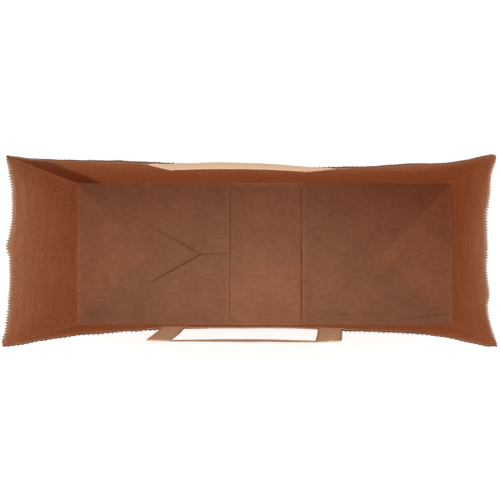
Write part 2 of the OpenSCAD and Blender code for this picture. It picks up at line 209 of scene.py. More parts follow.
def groove(points, start, end, depth, width, fade=0.0, nick=NICK_SHARE):
    """How far a crease from start to end presses each flat point in: a sharp nick in a soft dip.

    width is the soft dip's, fade the share of the crease over which it dies away, and nick the share of its
    depth that is sharp."""
    start, end = np.array(start, float), np.array(end, float)
    way = end - start
    share = np.clip(((points - start) @ way) / (way @ way), 0, 1)
    away = np.linalg.norm(points - start - share[..., None] * way, axis=-1)
    strength = 1.0 if fade == 0 else 1 - smoothstep(1 - fade, 1, share)
    return depth * strength * ((1 - nick) * np.exp(-away / width) + nick * np.exp(-(away / NICK) ** 2))


# Each length of wave is a sum of this many crossing waves, each with its share, and lengths spread about it
CROSSING = 5
CROSSING_SHARE = 0.45
LENGTH_SPREAD = (0.7, 1.4)


def waves(points, lengths, heights, seed):
    """A gentle random swell over flat points, the same on each run."""
    draw = np.random.default_rng(seed)
    total = np.zeros(points.shape[:-1])
    for length, height in zip(lengths, heights):
        for _ in range(CROSSING):
            turn = draw.uniform(0, 2 * np.pi)
            turns = 2 * np.pi / (length * draw.uniform(*LENGTH_SPREAD))
            way = np.array([np.cos(turn), np.sin(turn)]) * turns
            total += height * CROSSING_SHARE * np.sin(points @ way + draw.uniform(0, 2 * np.pi))
    return total


# The walls' swell: lengths and heights of its waves, and how far from a fold and from the base it is full
SWELL_LENGTHS = (170, 70, 30)
SWELL_HEIGHTS = (0.5, 0.28, 0.07)
SWELL_FROM_FOLD = 25
SWELL_FROM_BASE = 40
CREASE_FROM_BASE = 8


def relief(s, z):
    """The sheet's creases and swell, inward from its bow; they die away at the base and the folds."""
    panel, u = panel_of(s)
    from_fold = np.minimum(u, 1 - u) * PANEL_W[panel]
    points = np.stack([np.mod(s, GIRTH), z], axis=-1)
    swell = waves(points, SWELL_LENGTHS, SWELL_HEIGHTS, 3)
    swell = swell * smoothstep(0, SWELL_FROM_FOLD, from_fold) * smoothstep(0, SWELL_FROM_BASE, z)
    total = swell + mouth_waves(panel, u, z)
    for start, end, depth, width in TUBE_CREASES:
        total += groove(points, start, end, depth, width) * smoothstep(0, CREASE_FROM_BASE, z)
    return total


# A fold is rounded by averaging the sharp shape over these steps round the bag
FOLD_TAPS = np.array([-1.1, -0.7, -0.35, 0, 0.35, 0.7, 1.1])
TANGENT_STEP = 0.4


def rounded_wall(s, z):
    return sum(sharp_wall(s + tap, z) for tap in FOLD_TAPS) / len(FOLD_TAPS)


def wall(s, z, inset):
    """Places (x, y) that lie inset inward of the sheet's outer face, with rounded folds."""
    s, z = np.broadcast_arrays(np.asarray(s, float), np.asarray(z, float))
    centre = rounded_wall(s, z)
    tangent = rounded_wall(s + TANGENT_STEP, z) - rounded_wall(s - TANGENT_STEP, z)
    tangent /= np.linalg.norm(tangent, axis=-1, keepdims=True)
    inward = np.stack([-tangent[..., 1], tangent[..., 0]], axis=-1)
    return centre + inward * (inset + relief(s, z))[..., None]


# Flat sheets with creases, meshed along them

def along(start, end, step):
    start, end = np.array(start, float), np.array(end, float)
    count = max(1, round(np.linalg.norm(end - start) / step))
    return [tuple(start + (end - start) * k / count) for k in range(count + 1)]


def closed_outline(corners, steps):
    """Points round a polygon, each side in steps of its own length."""
    outline = []
    for k, step in enumerate(steps):
        outline += along(corners[k], corners[(k + 1) % len(corners)], step)[:-1]
    return outline


def inside(outline, points):
    """Whether each point lies inside the outline, by counting the edges it looks across."""
    start = np.array(outline)
    end = np.roll(start, -1, axis=0)
    found = np.zeros(len(points), bool)
    for (ax, ay), (bx, by) in zip(start, end):
        level = (points[:, 1] < ay) != (points[:, 1] < by)
        if ay == by or not level.any():
            continue
        cross = ax + (points[level, 1] - ay) / (by - ay) * (bx - ax)
        found[level] ^= points[level, 0] < cross
    return found


# Inner points stand in staggered rows, a share of the spacing apart, and clear of the lines by a share
ROW_SHARE = 0.87
CLEAR_SHARE = 0.45
LINE_STEP = 1.5
SAME_POINT = 1e-5
NO_AREA = 1e-7


def near_points(points, edges):
    """A tree of places along all the edges."""
    taken = [p for a, b in edges for p in along(points[a], points[b], LINE_STEP)]
    tree = KDTree(len(taken))
    for k, (x, y) in enumerate(taken):
        tree.insert((x, y, 0), k)
    tree.balance()
    return tree


def mesh_flat(outline, lines, spacing):
    """Triangles over a flat outline that follow its lines: points, and triangles counter-clockwise."""
    points = list(outline)
    edges = [(k, (k + 1) % len(outline)) for k in range(len(outline))]
    for line in lines:
        first = len(points)
        points += line
        edges += [(first + k, first + k + 1) for k in range(len(line) - 1)]
    tree = near_points(points, edges)
    low, high = np.min(outline, axis=0), np.max(outline, axis=0)
    rows = int((high[1] - low[1]) / (spacing * ROW_SHARE))
    for j in range(1, rows):
        y = low[1] + (high[1] - low[1]) * j / rows
        shift = spacing / 2 * (j % 2)
        for x in np.arange(low[0] + shift, high[0], spacing):
            if tree.find((x, y, 0))[2] > spacing * CLEAR_SHARE:
                points.append((x, y))
    flat, _, faces, _, _, _ = delaunay_2d_cdt(points, edges, [], 1, SAME_POINT, False)
    flat = np.array([tuple(p) for p in flat])
    faces = np.array([f for f in faces if len(f) == 3])
    a, b, c = flat[faces[:, 0]], flat[faces[:, 1]], flat[faces[:, 2]]
    area = (b[:, 0] - a[:, 0]) * (c[:, 1] - a[:, 1]) - (b[:, 1] - a[:, 1]) * (c[:, 0] - a[:, 0])
    faces[area < 0] = faces[area < 0][:, ::-1]
    faces = faces[(np.abs(area) > NO_AREA) & inside(outline, (a + b + c) / 3)]
    used, renumbered = np.unique(faces, return_inverse=True)
    return flat[used], renumbered.reshape(faces.shape)


def rim_edges(faces):
    """The edges that only one triangle has, in its own direction."""
    edges = np.concatenate([faces[:, [0, 1]], faces[:, [1, 2]], faces[:, [2, 0]]])
    known = set(map(tuple, edges))
    return [e for e in map(tuple, edges) if (e[1], e[0]) not in known]


class Sheet:
    """Gathers thin closed sheets into one mesh. Each corner keeps its flat place, for the paper's grain."""

    MERGE = 0.002 * MM

    def __init__(self):
        self.points, self.faces, self.flat, self.wear_and_shade = [], [], [], []
        self.count = 0

    def add(self, flat, faces, front, back, wear_and_shade, open_edge=None):
        """front and back place the flat points on the two faces; the pale and dark marks, from rubbing and
        painted light and shade, are for both faces, or a pair.

        open_edge says which edges, from one flat point to the next, stay open."""
        n = len(flat)
        base = self.count
        self.points += [front, back]
        self.wear_and_shade += list(wear_and_shade) if isinstance(wear_and_shade, tuple) else [wear_and_shade, wear_and_shade]
        sides = [e for e in rim_edges(faces) if open_edge is None or not open_edge(flat[e[0]], flat[e[1]])]
        self.faces += [tuple(f + base) for f in faces]
        self.faces += [tuple(f[::-1] + base + n) for f in faces]
        self.faces += [(b + base, a + base, a + base + n, b + base + n) for a, b in sides]
        side_corners = np.array([(b, a, a, b) for a, b in sides]).reshape(-1)
        order = np.concatenate([faces.reshape(-1), faces[:, ::-1].reshape(-1), side_corners])
        self.flat.append(flat[order.astype(int)])
        self.count += 2 * n

    def build(self, name, material, sharp=35):
        mesh = bpy.data.meshes.new(name)
        mesh.from_pydata(np.concatenate(self.points) * MM, [], self.faces)
        flat = np.concatenate(self.flat)
        flat = np.column_stack([flat, np.zeros(len(flat))]).astype(np.float32)
        mesh.attributes.new("flat", "FLOAT_VECTOR", "CORNER").data.foreach_set("vector", flat.reshape(-1))
        wear_and_shade = np.concatenate(self.wear_and_shade).astype(np.float32)
        mesh.attributes.new("wear_and_shade", "FLOAT", "POINT").data.foreach_set("value", wear_and_shade)
        work = bmesh.new()
        work.from_mesh(mesh)
        bmesh.ops.remove_doubles(work, verts=work.verts, dist=self.MERGE)
        work.to_mesh(mesh)
        work.free()
        for polygon in mesh.polygons:
            polygon.use_smooth = True
        mesh.set_sharp_from_angle(angle=math.radians(sharp))
        piece = bpy.data.objects.new(name, mesh)
        bpy.context.scene.collection.objects.link(piece)
        mesh.materials.append(material)
        return piece


# Materials

# Colours of the papers, how light that has come through is tinted, and the share of it in each paper
KRAFT = (0.672, 0.401, 0.236)
TAPE = (0.84, 0.545, 0.335)
GLOW_TINT = (1.0, 0.92, 0.9)
KRAFT_THROUGH = 0.42
TAPE_THROUGH = 0.3
KRAFT_STREAKS = (0.7, 1.9)

# A paper's colour runs from thin to thick pulp, with flecks, pale worn folds and painted highlights, and
# painted shade: shares of its colour
THIN_TINT = (0.83, 0.79, 0.76)
THICK_TINT = (1.17, 1.21, 1.24)
DARK_TINT = (0.62, 0.55, 0.5)
PALE_TINT = (1.3, 1.45, 1.65)
SHADE_TINT = 0.28

# Noise in the paper: grains to a millimetre, detail, roughness, stretch on the flat pattern, distortion
FIBRES = (1.6, 3, 0.6, (1, 0.4, 1), 1.0)
CLOUDS = (0.24, 4, 0.75, (1, 0.5, 1), 0.4)
STREAKS = (0.42, 3, 0.6, (1, 0.13, 1), 0.3)
TONE = (0.03, 2, 0.5, (1, 1, 1), 0.0)
FLECKS = (0.9, 1, 0.5, (1, 0.5, 1), 0.0)

# How far each noise moves the colour, and what it adds to the bump and the roughness
FIBRE_SHARE = 0.5
CLOUD_SHARE = 1.3
TONE_SHARE = 0.8
BLEND_START = 0.5 - (FIBRE_SHARE + CLOUD_SHARE + TONE_SHARE) / 2
DARK_FLECK = (0.69, 0.35)
PALE_FLECK = (0.3, 0.25)
WEAR_AND_HIGHLIGHT_SHARE = 0.8
BUMP_FIBRES = 0.5
BUMP_CLOUDS = 0.9
BUMP_STRENGTH = 0.55
BUMP_DISTANCE = 0.12 * MM
ROUGH = 0.68
ROUGH_FIBRES = 0.2
PAPER_SPECULAR = 0.1


class Nodes:
    """The node tree of a new material or world, with short ways to add nodes and link them."""

    def __init__(self, owner):
        owner.use_nodes = True
        self.tree = owner.node_tree
        self.tree.nodes.clear()

    def add(self, kind, inputs=None, **settings):
        made = self.tree.nodes.new(kind)
        for key, value in settings.items():
            setattr(made, key, value)
        for key, value in (inputs or {}).items():
            if isinstance(value, bpy.types.NodeSocket):
                self.tree.links.new(value, made.inputs[key])
            else:
                made.inputs[key].default_value = value
        return made

    def maths(self, operation, a, b=0.0, c=0.0, clamp=False):
        values = {0: a, 1: b, 2: c}
        return self.add("ShaderNodeMath", values, operation=operation, use_clamp=clamp).outputs[0]

    def mix(self, factor, a, b, blend="MIX"):
        values = {0: factor, 6: a, 7: b}
        return self.add("ShaderNodeMix", values, data_type="RGBA", blend_type=blend).outputs[2]

    def noise(self, place, scale, detail, rough, stretch, distort):
        mapped = self.add("ShaderNodeMapping", {"Vector": place, "Scale": stretch}).outputs[0]
        return self.add("ShaderNodeTexNoise", {"Vector": mapped, "Scale": scale, "Detail": detail,
                                               "Roughness": rough, "Distortion": distort}).outputs["Fac"]


def tinted(colour, tint):
    return (*(min(1, c * k) for c, k in zip(colour, tint)), 1)


def pulp_colour(nodes, flat, fibres, clouds, colour, streaks):
    """The paper's own colour, with its fibres, clouds, streaks and slow changes of tone, and its flecks."""
    streak = nodes.noise(flat, *STREAKS)
    up_wall = nodes.maths("GREATER_THAN", nodes.add("ShaderNodeSeparateXYZ", {0: flat}).outputs["Y"], 0.0)
    strength = nodes.maths("MULTIPLY_ADD", up_wall, streaks[1] - streaks[0], streaks[0])
    blend = nodes.maths("MULTIPLY_ADD", fibres, FIBRE_SHARE, BLEND_START)
    blend = nodes.maths("MULTIPLY_ADD", clouds, CLOUD_SHARE, blend)
    blend = nodes.maths("MULTIPLY_ADD", nodes.maths("SUBTRACT", streak, 0.5), strength, blend)
    blend = nodes.maths("MULTIPLY_ADD", nodes.noise(flat, *TONE), TONE_SHARE, blend, clamp=True)
    paper = nodes.mix(blend, tinted(colour, THIN_TINT), tinted(colour, THICK_TINT))
    flecks = nodes.noise(flat, *FLECKS)
    dark_fleck = nodes.maths("GREATER_THAN", flecks, DARK_FLECK[0])
    pale_fleck = nodes.maths("LESS_THAN", flecks, PALE_FLECK[0])
    paper = nodes.mix(nodes.maths("MULTIPLY", dark_fleck, DARK_FLECK[1]), paper, tinted(colour, DARK_TINT))
    return nodes.mix(nodes.maths("MULTIPLY", pale_fleck, PALE_FLECK[1]), paper, tinted(colour, PALE_TINT))


def paper_material(name, colour, through, streaks=(0.0, 0.0)):
    """Uncoated kraft paper, paler on rubbed folds and painted highlights and darker where shade is painted;
    some light comes through it.

    A point's mark is 1 on a rubbed fold or a painted highlight, and below 0 where shade is painted: on the
    mouth's teeth, in creases and troughs, and on the tape's inner faces. streaks is how strong the
    streaks are where the flat pattern's height is below 0, and above."""
    material = bpy.data.materials.new(name)
    nodes = Nodes(material)
    flat = nodes.add("ShaderNodeAttribute", attribute_name="flat").outputs["Vector"]
    wear_and_shade = nodes.add("ShaderNodeAttribute", attribute_name="wear_and_shade").outputs["Fac"]
    fibres = nodes.noise(flat, *FIBRES)
    clouds = nodes.noise(flat, *CLOUDS)
    paper = pulp_colour(nodes, flat, fibres, clouds, colour, streaks)
    # Above 0 the paper turns paler: folds worn pale, and painted highlights
    worn_and_lit = nodes.maths("MULTIPLY", wear_and_shade, WEAR_AND_HIGHLIGHT_SHARE, clamp=True)
    paper = nodes.mix(worn_and_lit, paper, tinted(colour, PALE_TINT))
    # Below 0 shade is painted: the colour darkens towards a deep brown
    cut = (*(c * c * SHADE_TINT for c in colour), 1)
    paper = nodes.mix(nodes.maths("MULTIPLY", wear_and_shade, -1.0, clamp=True), paper, cut)
    grain = nodes.maths("MULTIPLY", clouds, BUMP_CLOUDS)
    grain = nodes.maths("MULTIPLY_ADD", fibres, BUMP_FIBRES, grain)
    bump = nodes.add("ShaderNodeBump", {"Strength": BUMP_STRENGTH, "Distance": BUMP_DISTANCE,
                                        "Height": grain}).outputs[0]
    rough = nodes.maths("ADD", nodes.maths("MULTIPLY", fibres, ROUGH_FIBRES), ROUGH)
    surface = nodes.add("ShaderNodeBsdfPrincipled", {"Base Color": paper, "Roughness": rough, "Normal": bump,
                                                     "Specular IOR Level": PAPER_SPECULAR})
    deep = nodes.mix(1.0, paper, (*GLOW_TINT, 1), "MULTIPLY")
    glow = nodes.add("ShaderNodeBsdfTranslucent", {"Color": deep, "Normal": bump})
    both = nodes.add("ShaderNodeMixShader", {0: through, 1: surface.outputs[0], 2: glow.outputs[0]})
    nodes.add("ShaderNodeOutputMaterial", {"Surface": both.outputs[0]})
    return material


kraft_paper = paper_material("kraft_paper", KRAFT, KRAFT_THROUGH, KRAFT_STREAKS)
tape_paper = paper_material("tape_paper", TAPE, TAPE_THROUGH)
patch_paper = paper_material("patch_paper", TAPE, TAPE_THROUGH)


# The bag's walls

# The pinked edge, by panel: its teeth, how they sway in and out, and how far down from their tips shade is
# painted dark
PANEL_TEETH = np.array([208, 68, 208, 68])
PANEL_PITCH = PANEL_W / PANEL_TEETH
TEETH_H = 2.0
LONG_SWAY = 0.5
GUSSET_SWAY = 1.7
TIP_SHIFT = 0.12
TIP_DROP = 0.35
RIM_SHADE = 0.9
RIM_BAND = np.array([3.3, 2.1, 3.3, 2.1])
RIM_BAND_EASE = 0.4

# The mouth's edge flares out over its last millimetres, from where the paper under it is drawn in
FLARE_H = 5.0
FLARE = 2.0
FLARE_CURVE = 1.2
FLARE_BACK = np.array([0.9, 1.8, 0.9, 1.8])
BACK_REACH = 45.0
RIM_BEND = 0.25
RIM_BEND_LENGTHS = (14, 40)
HELD_SHARE = 0.2
HELD_REACH = 12

# Between the legs of the front handle the patch holds the edge straight, and no shade is painted on its
# teeth
PLAIN_RIM = (PANEL_START[FRONT] + 165, PANEL_START[FRONT] + 290)
PLAIN_EASE = 26.0
PLAIN_SHARE = 0.8

# The fold at the base, and the cut where the flat pattern begins and ends
FOLD_R = 0.7
FOLD_HALF = math.pi * FOLD_R / 4
LIP = 0.4
V_LOW = -FOLD_HALF - LIP
V_TOP = BODY_H - FOLD_R + FOLD_HALF
S_CUT = PANEL_START[LEFT] + 20
SAME_S = 1e-6

# How the walls are meshed: steps along the lines, rows beside folds and creases, and rows under the teeth
WALL_SPACING = 8.5
WALL_STEP = 7
BESIDE_FOLD = (-1.4, -0.8, -0.3, 0.3, 0.8, 1.4)
BESIDE_CREASE = (-2.5, -0.8, 0, 0.8, 2.5)
BESIDE_SLANT = (0, 1.6)
SLANT_END = 4
SLANT_SHARE = 0.94
CLEAR_OF_TEETH = 4.3
UNDER_TEETH = ((2.2, 1.05), (3.0, 1.3), (3.7, 1.8), (8, 4))
BASE_ROWS = (-FOLD_HALF, -FOLD_HALF / 3, FOLD_HALF / 3, FOLD_HALF, 3)

# Wear on the walls: (how far from the line it dies away, how strong it is)
FOLD_WEAR = (0.8, 0.8)
CREASE_WEAR = (0.7, 0.15)
SEAM_WEAR = (0.5, 0.6)


def height_inset(v, depth):
    """Height and inset of a place v up the flat sheet, depth under its outer face, past the base's fold."""
    turn = np.clip((FOLD_HALF - v) / (2 * FOLD_HALF), 0, 1) * math.pi / 2
    height = FOLD_R - (FOLD_R - depth) * np.sin(turn) + np.clip(v - FOLD_HALF, 0, None)
    inset = FOLD_R - (FOLD_R - depth) * np.cos(turn) + np.clip(-FOLD_HALF - v, 0, None)
    return height, inset


def plain_rim(s):
    """1 where the front patch holds the mouth's edge straight, between its handle's legs; no shade is
    painted on the teeth there.
    """
    s = np.mod(s, GIRTH)
    return smoothstep(PLAIN_RIM[0] - PLAIN_EASE, PLAIN_RIM[0], s) \
        * smoothstep(PLAIN_RIM[1] + PLAIN_EASE, PLAIN_RIM[1], s)


def rim_share(s):
    """How freely the mouth's edge bends: it is held at the folds, and by the front patch."""
    panel, u = panel_of(s)
    from_fold = np.minimum(u, 1 - u) * PANEL_W[panel]
    held = HELD_SHARE + (1 - HELD_SHARE) * smoothstep(0, HELD_REACH, from_fold)
    return held * (1 - PLAIN_SHARE * plain_rim(s))


def set_back(s, z):
    """How far the paper under the mouth is drawn in, before its edge flares out."""
    panel, _ = panel_of(s)
    return FLARE_BACK[panel] * smoothstep(BODY_H - BACK_REACH, BODY_H - FLARE_H, z) * rim_share(s)


def tube_place(flat, depth):
    z, inset = height_inset(flat[:, 1], depth)
    panel, u = panel_of(flat[:, 0])
    tooth = u * PANEL_TEETH[panel]
    on_gusset = panel % 2 == 1
    sway = np.where(on_gusset, -GUSSET_SWAY * np.cos(2 * np.pi * tooth), LONG_SWAY * np.sin(np.pi * tooth))
    bend = sway + RIM_BEND * waves(flat * [1, 0], RIM_BEND_LENGTHS, (1, 1), 5)
    splay = FLARE * np.clip((z - BODY_H + FLARE_H) / FLARE_H, 0, 1) ** FLARE_CURVE
    splay += bend * smoothstep(BODY_H - TEETH_H, BODY_H, z)
    splay = splay * rim_share(flat[:, 0]) - set_back(flat[:, 0], z)
    xy = wall(flat[:, 0], np.maximum(z, 0), inset - splay)
    return np.column_stack([xy, z])


def near_lines(flat, lines, width):
    """1 on the lines, dying away within width."""
    total = np.zeros(len(flat))
    for start, end in lines:
        total = np.maximum(total, groove(flat, start, end, 1.0, width, nick=0))
    return total


def paler_along(flat, lines, wear_and_shade):
    reach, strength = wear_and_shade
    return near_lines(flat, lines, reach) * strength


def in_cut_range(s):
    return s if s >= S_CUT - SAME_S else s + GIRTH


def tube_outline():
    """The flat tube, from the cut round to the cut again, with the teeth along its top."""
    top = []
    for panel in range(4):
        for k in range(2 * PANEL_TEETH[panel]):
            s = in_cut_range(PANEL_START[panel] + k * PANEL_PITCH[panel] / 2)
            v = V_TOP - (TEETH_H if k % 2 == 0 else 0)
            if abs(s - S_CUT) < SAME_S:
                top.append((S_CUT, v))
            else:
                top.append((s + CHANCE.uniform(-TIP_SHIFT, TIP_SHIFT), v - CHANCE.uniform(0, TIP_DROP)))
    top = sorted(top)
    top.append((S_CUT + GIRTH, top[0][1]))
    bottom = along((S_CUT, V_LOW), (S_CUT + GIRTH, V_LOW), 6)
    right = along(bottom[-1], top[-1], 8)[1:-1]
    left = [(p[0] - GIRTH, p[1]) for p in right]
    return bottom + right + top[::-1] + left[::-1]


def tube_lines():
    """Lines that the mesh of the flat tube follows: beside its folds and creases, and under its teeth."""
    lines = []
    top = V_TOP - CLEAR_OF_TEETH
    for s in (in_cut_range(s) for s in PANEL_START):
        lines += [along((s + off, V_LOW), (s + off, top), WALL_STEP) for off in BESIDE_FOLD]
    for s in (in_cut_range(RIGHT_MID), in_cut_range(LEFT_MID)):
        lines += [along((s + off, APEX_Z), (s + off, top), WALL_STEP) for off in BESIDE_CREASE]
    for v in BASE_ROWS:
        lines.append(along((S_CUT, v), (S_CUT + GIRTH, v), WALL_STEP))
    for under, step in UNDER_TEETH:
        lines.append(along((S_CUT, V_TOP - under), (S_CUT + GIRTH, V_TOP - under), step))
    for v in (APEX_Z + off for off in BESIDE_CREASE):
        lines.append(along((in_cut_range(LEFT_MID), v), (in_cut_range(RIGHT_MID), v), WALL_STEP))
    for corner, middle in ((BODY_W, RIGHT_MID), (BODY_W + BODY_D, RIGHT_MID), (PANEL_START[LEFT], LEFT_MID),
                           (GIRTH, LEFT_MID)):
        start, end = in_cut_range((middle + (corner - middle) * SLANT_SHARE) % GIRTH), in_cut_range(middle)
        if abs(start - end) <= BODY_D:
            lines += [along((start, SLANT_END + off), (end, APEX_Z - SLANT_END + off), WALL_STEP)
                      for off in BESIDE_SLANT]
    return lines


def at_cut(a, b):
    return any(abs(a[0] - end) < 1e-4 and abs(b[0] - end) < 1e-4 for end in (S_CUT, S_CUT + GIRTH))


def add_walls(sheet):
    flat, faces = mesh_flat(tube_outline(), tube_lines(), WALL_SPACING)
    folds = [((in_cut_range(s), V_LOW), (in_cut_range(s), V_TOP)) for s in PANEL_START]
    creases = [((in_cut_range(a[0]), a[1]), (in_cut_range(b[0]), b[1])) for a, b, _, _ in SHARP_CREASES
               if abs(in_cut_range(a[0]) - in_cut_range(b[0])) <= BODY_W + 1]
    base = [((S_CUT, 0), (S_CUT + GIRTH, 0))]
    wear_and_shade = paler_along(flat, folds + base, FOLD_WEAR)
    wear_and_shade = np.maximum(wear_and_shade, paler_along(flat, creases, CREASE_WEAR))
    # A band of painted shade darkens the teeth of the mouth's edge, but not between the front legs
    dark_from = V_TOP - RIM_BAND[panel_of(flat[:, 0])[0]]
    teeth_shade = smoothstep(dark_from - RIM_BAND_EASE, dark_from + RIM_BAND_EASE, flat[:, 1])
    teeth_shade = teeth_shade * (1 - plain_rim(flat[:, 0]))
    wear_and_shade = wear_and_shade * (1 - teeth_shade) - RIM_SHADE * teeth_shade
    sheet.add(flat, faces, tube_place(flat, 0.0), tube_place(flat, PAPER_T), wear_and_shade, at_cut)


SEAM_FROM_BASE = 1.5
SEAM_GAP = 0.03


def add_overlap(sheet):
    """The glued overlap that closes the tube lies inside the back panel, at its left corner."""
    low, high = PANEL_START[LEFT] - SEAM_W, PANEL_START[LEFT] - 1.5
    top = V_TOP - TEETH_H - 0.4
    corners = [(low, SEAM_FROM_BASE), (high, SEAM_FROM_BASE), (high, top), (low, top)]
    beside_edge = along((low + 0.8, 2), (low + 0.8, V_TOP - 6), 8)
    flat, faces = mesh_flat(closed_outline(corners, (4, 8, 2.1, 8)), [beside_edge], 7)
    near = PAPER_T + SEAM_GAP
    wear_and_shade = paler_along(flat, [((low, 0), (low, V_TOP))], SEAM_WEAR)
    sheet.add(flat, faces, tube_place(flat, near), tube_place(flat, near + PAPER_T), wear_and_shade)


# The folded base

BASE_IN = FOLD_R + LIP - 0.05
HALF_W = BODY_W / 2
HALF_D = BODY_D / 2
LEFT_EDGE = LEFT_FLAP - HALF_W
RIGHT_EDGE = HALF_W - RIGHT_FLAP
LAYER_GAP = 0.03
LAYER = PAPER_T + LAYER_GAP
LAYERS_UNDER = 2 * LAYER
THINNEST = 0.02

# Creases of the two end flaps and of the sheet in the gap between them, in millimetres on the base:
# (from, to, depth, width, share over which it dies away). The left flap's form a Y whose arms fade outward
CREASE_MEET = (-75.9, -0.8)
LEFT_CREASES = [
    (CREASE_MEET, (LEFT_EDGE, 0.4), 1.0, 5, 0),
    (CREASE_MEET, (-172, 54.5), 1.5, 6, 0.75),
    (CREASE_MEET, (-160, -48), 2.2, 6, 0.6),
    ((-216, -25), (-177.5, -44.6), -0.35, 9, 0.4),
    ((-180, -13), (-195, -30), 0.5, 6, 0.3),
    ((-60, -50), (-44, -57), 0.4, 5, 0.3),
    ((-44, 66), (-80, 62), 0.3, 5, 0.4),
    ((-215, -70), (-120, -74), 0.5, 6, 0.5),
]
RIGHT_CREASES = [
    ((RIGHT_EDGE, 66.8), (72, 66.8), 0.5, 3, 0.4),
    ((RIGHT_EDGE, -15.6), (72, -16.2), 0.55, 2.5, 0.4),
    ((RIGHT_EDGE, -19.2), (85, -19.4), 0.5, 2.5, 0.5),
    ((RIGHT_EDGE, -34.7), (66, -35.4), 0.6, 3, 0.4),
    ((222, -71), (190, -74.5), 1.2, 5, 0.0),
    ((190, -74.5), (160, -79.5), 1.2, 5, 0.6),
    ((200, -66), (222, -62), 0.6, 6, 0.5),
    ((150, -48), (175, -62), 0.6, 7, 0.4),
    ((128, -40), (152, -57), 0.45, 7, 0.4),
    ((110, -20), (150, -36), 0.4, 8, 0.4),
    ((60, 30), (130, 22), 0.3, 8, 0.4),
    ((75, -72), (140, -75), 0.6, 6, 0.5),
]
GAP_CREASES = [
    ((-36, -21), (-24, -31), 0.25, 3, 0.3),
    ((30, -15.6), (RIGHT_EDGE, -15.6), 0.15, 2.5, 0.2),
]

# The sheet in the gap swells up, and dips into a trough along each end flap's free edge: (from, to, depth)
GAP_RISE = 1.2
GAP_WAVES = ((60, 25), (1, 0.4), 8)
GAP_WAVE_SHARE = 0.2
GAP_EASE = 30
GAP_FROM_SIDE = 14
LAP_EASE = 4
LEFT_TROUGH = LEFT_EDGE + 0.9
RIGHT_TROUGH = RIGHT_EDGE - 0.9
TROUGHS = [
    ((LEFT_TROUGH, -HALF_D), (LEFT_TROUGH, HALF_D), 0.8),
    ((RIGHT_TROUGH, -HALF_D), (RIGHT_TROUGH, HALF_D), 0.75),
    ((RIGHT_TROUGH, -HALF_D), (RIGHT_TROUGH, 5), 0.8),
]
# How much shade is painted dark along the troughs
TROUGH_SHADE = 0.16
BESIDE_TROUGH = (-1.8, -1.1, -0.6, 0, 0.6, 1.1, 1.8)

# The end flaps: how they leave their wall and the sides, puff up, wave and lift at the free edge
BED_REACH = 12
PUFF_FROM_SIDE = 30
PUFF_FROM_WALL = 40
LIFT_REACH = 7
LIFT_AT_SIDE = 0.45
LIFT_FROM_SIDE = 35
FLAP_WAVES = ((90, 35), (1, 0.5))
FLAP_WAVE_SHARE = 0.25
FLAP_WAVE_REACH = 20
DIPS_FROM_SIDE = (-2, 12)
SIDE_ROUND = 0.8
SIDE_ROUND_SHARE = 0.7
SIDE_CLEAR = 0.35
END_ROUND = 0.9
# How much shade is painted dark into the end flaps' creases
CREASE_SHADE = 0.22
FLAP_STEPS = (5, 2, 5, 2)
FLAP_SPACING = 4.2
ROUND_ROWS = (0.15, 0.45, 0.9)
INSIDE_RIM = 1.2
BESIDE_DIP = (-2.4, -1.5, -1.0, -0.5, 0, 0.5, 1.0, 1.5, 2.4)
DIP_STEP = 2.5
LINE_END = 0.8
# Pale lines as (reach, strength): a painted highlight on the end flaps' free edge, then wear on the folds
# and the long flaps' edges
FREE_EDGE_HIGHLIGHT = (1.2, 0.7)
WALL_FOLD_WEAR = (1.6, 0.5)
SIDE_FOLD_WEAR = (0.8, 0.4)
LONG_EDGE_WEAR = (0.9, 0.7)


def press(points, creases):
    return sum(groove(points, a, b, depth, width, fade) for a, b, depth, width, fade in creases)


def end_flap_height(points, hand, edge_x, creases, puff, lifts, seed):
    """Height of an end flap's underside, which comes off its wall and puffs up between its creases.

    lifts are the heights of its free edge at the back and at the front."""
    x, y = points[:, 0], points[:, 1]
    to_back = smoothstep(-HALF_D, HALF_D, y)
    lift = lifts[0] * to_back + lifts[1] * (1 - to_back)
    from_wall = HALF_W - hand * x
    from_side = HALF_D - np.abs(y)
    from_edge = hand * (x - edge_x)
    bed = LAYERS_UNDER * smoothstep(0, BED_REACH, from_wall)
    body = puff * smoothstep(0, PUFF_FROM_SIDE, from_side) * smoothstep(0, PUFF_FROM_WALL, from_wall)
    held = LIFT_AT_SIDE + (1 - LIFT_AT_SIDE) * smoothstep(0, LIFT_FROM_SIDE, from_side)
    free = lift * np.exp(-from_edge / LIFT_REACH) * held
    wavy = FLAP_WAVE_SHARE * waves(points, *FLAP_WAVES, seed)
    wavy = wavy * smoothstep(0, FLAP_WAVE_REACH, from_side) * smoothstep(0, FLAP_WAVE_REACH, from_wall)
    dips = press(points, creases) * smoothstep(*DIPS_FROM_SIDE, from_side)
    return bed + np.maximum(body + free + wavy - dips, THINNEST)


def offset_line(a, b, off):
    """The line from a to b moved aside by off, and a little shorter at both ends."""
    a, b = np.array(a, float), np.array(b, float)
    way = (b - a) / np.linalg.norm(b - a)
    side = np.array([-way[1], way[0]]) * off
    return a + side + way * LINE_END, b + side - way * LINE_END


def end_flap_lines(hand, wall_x, edge_x, side_y, creases):
    lines = []
    for off in ROUND_ROWS:
        x = wall_x - hand * off
        lines.append(along((x, -side_y + INSIDE_RIM), (x, side_y - INSIDE_RIM), 3))
        lines += [along((wall_x - hand * INSIDE_RIM, side * (side_y - off)),
                        (edge_x + hand * INSIDE_RIM, side * (side_y - off)), 4) for side in (-1, 1)]
    x = edge_x + hand * INSIDE_RIM
    lines.append(along((x, -side_y + 2), (x, side_y - 2), 3))
    for a, b, depth, width, _ in creases:
        if depth > 0.5 and width <= 6:
            lines += [along(*offset_line(a, b, off), DIP_STEP) for off in BESIDE_DIP]
    return lines


def quarter_round(radius, from_edge):
    """How far a rounded edge of this radius falls away at a distance from the edge."""
    left = np.clip(radius - from_edge, 0, radius)
    return radius - np.sqrt(radius ** 2 - left ** 2)


